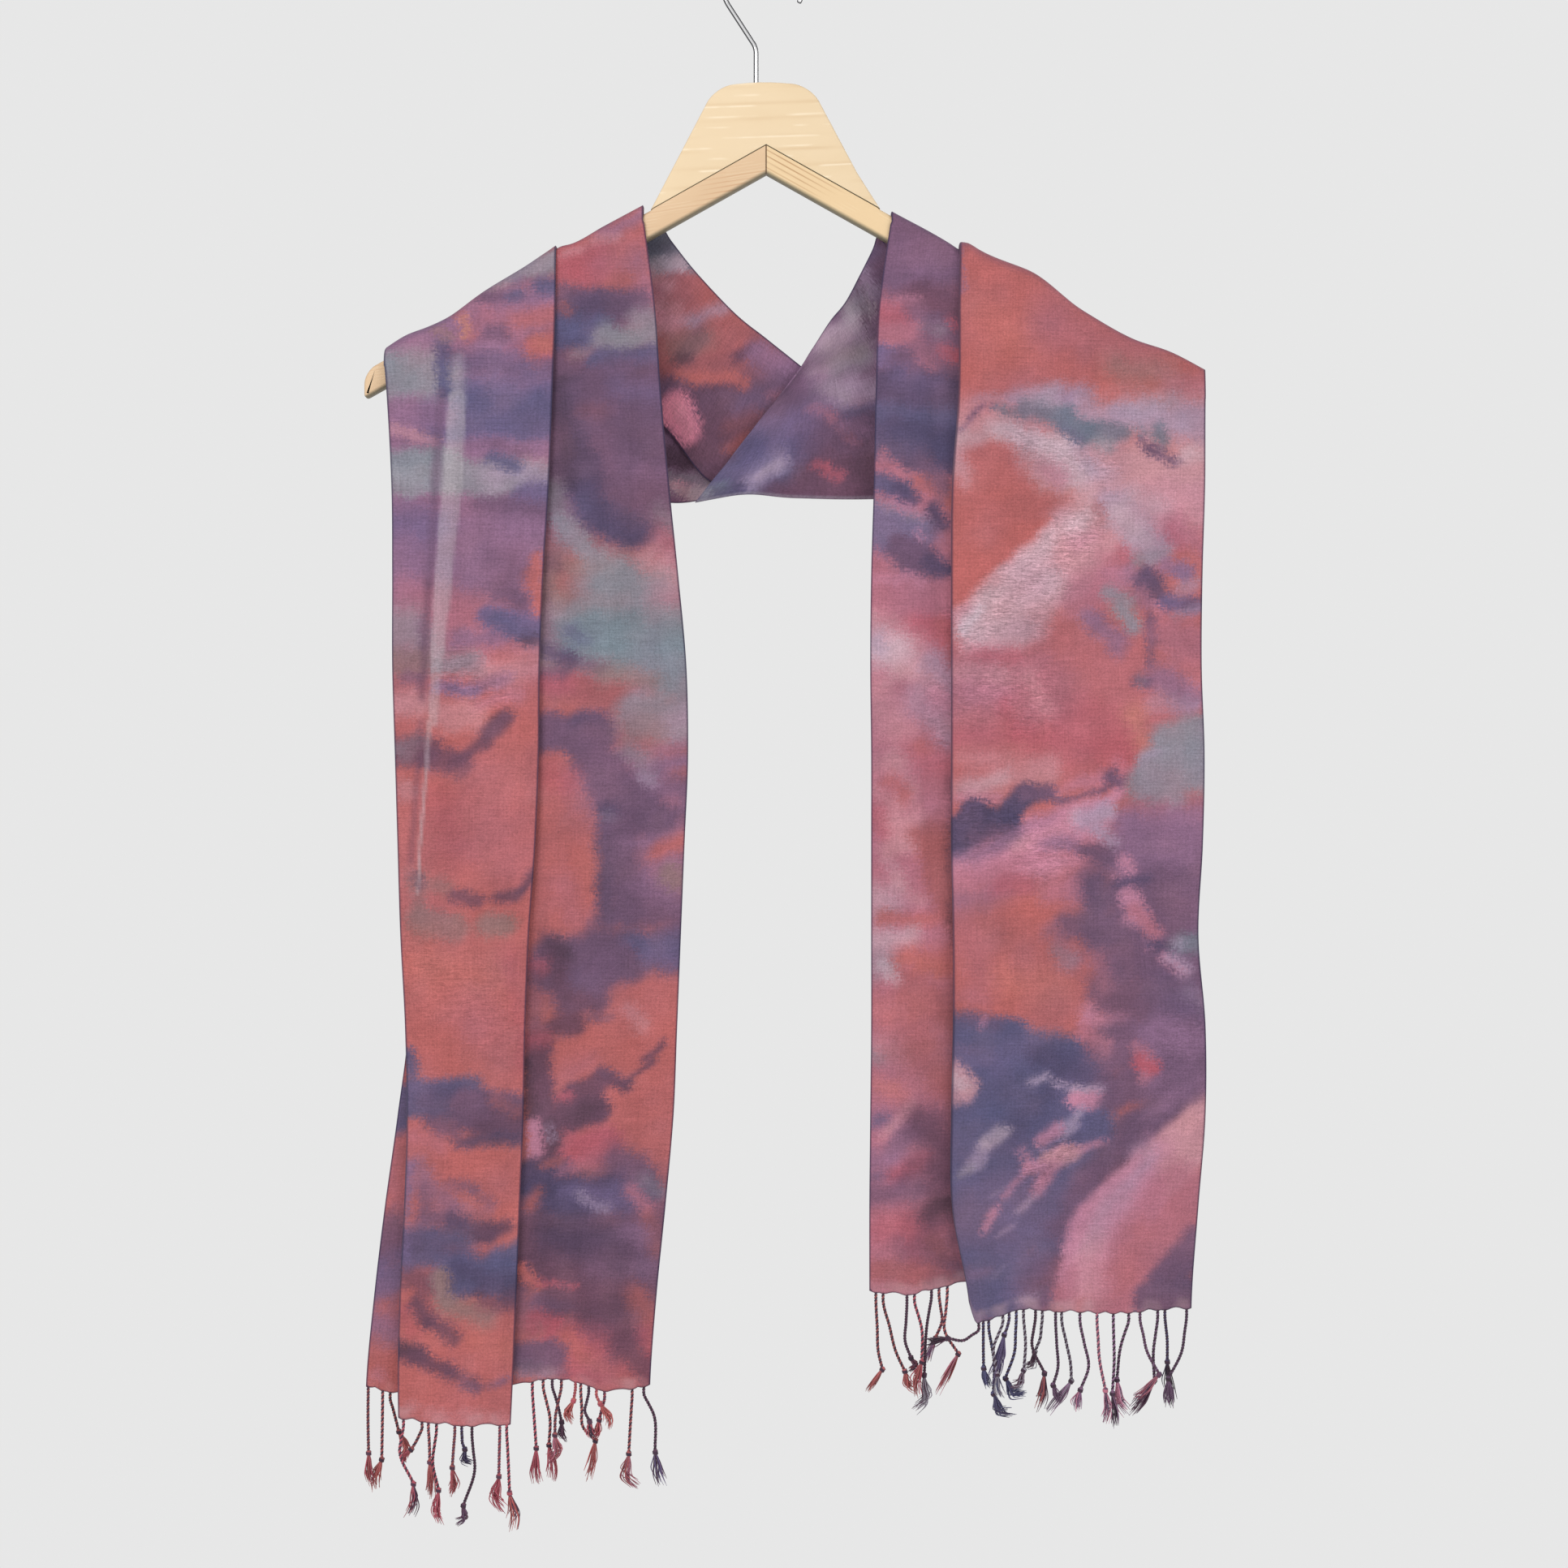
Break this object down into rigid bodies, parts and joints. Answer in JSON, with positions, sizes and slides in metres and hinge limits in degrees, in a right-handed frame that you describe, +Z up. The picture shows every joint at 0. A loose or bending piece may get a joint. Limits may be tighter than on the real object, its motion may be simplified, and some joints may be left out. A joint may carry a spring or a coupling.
{
  "type": "tie-dye scarf on a clothes hanger",
  "caption": "Long fringed tie-dye scarf with folded tails, hung over a flat wooden clothes hanger with a wire hook.",
  "frame": {"origin": "inside of the hook's crown, where a rail carries the hanger", "axes": "+Z up, the tails hang in front on the -Y side, +X to the right as seen from the front"},
  "size_m": [0.4672, 0.0418, 0.8794],
  "materials": {
    "dyed_cloth": "matt plain weave, tie-dyed in coral, plum and slate",
    "fringe_thread": "twisted and knotted warp threads",
    "hanger_wood": "pale wood, satin",
    "hook_steel": "plated wire"
  },
  "bodies": {
    "root": {"tail_left_back": "dyed_cloth", "tail_left_flap": "dyed_cloth", "tail_right_inner": "dyed_cloth", "tail_right_front": "dyed_cloth", "loop_left": "dyed_cloth", "loop_right": "dyed_cloth", "loop_under": "dyed_cloth", "fringe_left_back": "fringe_thread", "fringe_left_flap": "fringe_thread", "fringe_right_inner": "fringe_thread", "fringe_right_front": "fringe_thread", "hanger_arm_left": "hanger_wood", "hanger_arm_right": "hanger_wood", "hanger_neck_plate": "hanger_wood", "hanger_hook": "hook_steel"}
  },
  "joints": []
}
